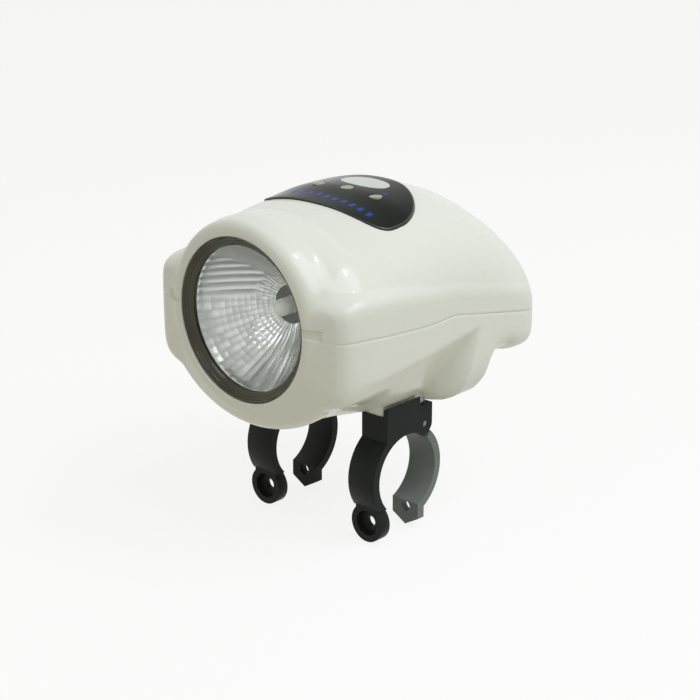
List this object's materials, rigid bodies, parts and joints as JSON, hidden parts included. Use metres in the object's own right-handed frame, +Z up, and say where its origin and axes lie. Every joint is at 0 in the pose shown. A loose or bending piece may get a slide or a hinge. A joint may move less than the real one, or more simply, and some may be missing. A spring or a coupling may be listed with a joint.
{
  "type": "bicycle headlight",
  "caption": "Ivory e-bike headlight: two-piece moulded housing, round reflector lamp behind a clear lens, black charge-indicator panel on top, hinged handlebar clamps below.",
  "frame": {"origin": "on the axis of the handlebar, midway between the two clamps", "axes": "+X along the handlebar towards the rider's left, -Y the way the lamp shines, +Z up"},
  "size_m": [0.0996, 0.1233, 0.1309],
  "materials": {
    "shell_ivory": "glossy moulded ivory",
    "panel_black": "high gloss",
    "bezel_dark": "high gloss",
    "lens_clear": "clear",
    "gasket_black": "matte",
    "reflector_silver": "metallised",
    "lamp_yellow": "clear resin",
    "board_white": "white coated",
    "sink_alloy": "machined",
    "screw_steel": "zinc plated",
    "board_green": "solder mask",
    "parts_black": "moulded",
    "lead_red": "insulated wire",
    "indicator_cream": "diffused resin",
    "clamp_black": "satin moulded",
    "jaw_grey": "satin moulded"
  },
  "bodies": {
    "housing": {"upper_shell": "shell_ivory", "lower_shell": "shell_ivory", "display_panel": "panel_black", "bezel_ring": "bezel_dark", "front_lens": "lens_clear", "lens_gasket": "gasket_black", "reflector": "reflector_silver", "led_emitter": "lamp_yellow", "led_board": "board_white", "heat_sink": "sink_alloy", "led_screws": "screw_steel", "reflector_screws": "screw_steel", "driver_board": "board_green", "driver_components": "parts_black", "board_screws": "screw_steel", "indicator_board": "board_green", "indicator_leds": "indicator_cream", "indicator_screws": "screw_steel", "led_lead": "lead_red", "board_link": "parts_black", "shell_screws": "screw_steel", "cable_gland": "gasket_black", "clamp_bracket_left": "clamp_black", "clamp_bracket_right": "clamp_black", "bracket_screws": "screw_steel", "jaw_pin_left": "screw_steel", "jaw_pin_right": "screw_steel"},
    "jaw_left": {"clamp_jaw_left": "jaw_grey"},
    "jaw_right": {"clamp_jaw_right": "clamp_black"}
  },
  "joints": [
    {"name": "jaw_left_hinge", "type": "hinge", "parent": "housing", "child": "jaw_left", "pos_m": [0.027, 0.0101, 0.01749], "axis": [1, 0, 0], "range_deg": [0, 60]},
    {"name": "jaw_right_hinge", "type": "hinge", "parent": "housing", "child": "jaw_right", "pos_m": [-0.027, 0.0101, 0.01749], "axis": [1, 0, 0], "range_deg": [0, 60]}
  ]
}
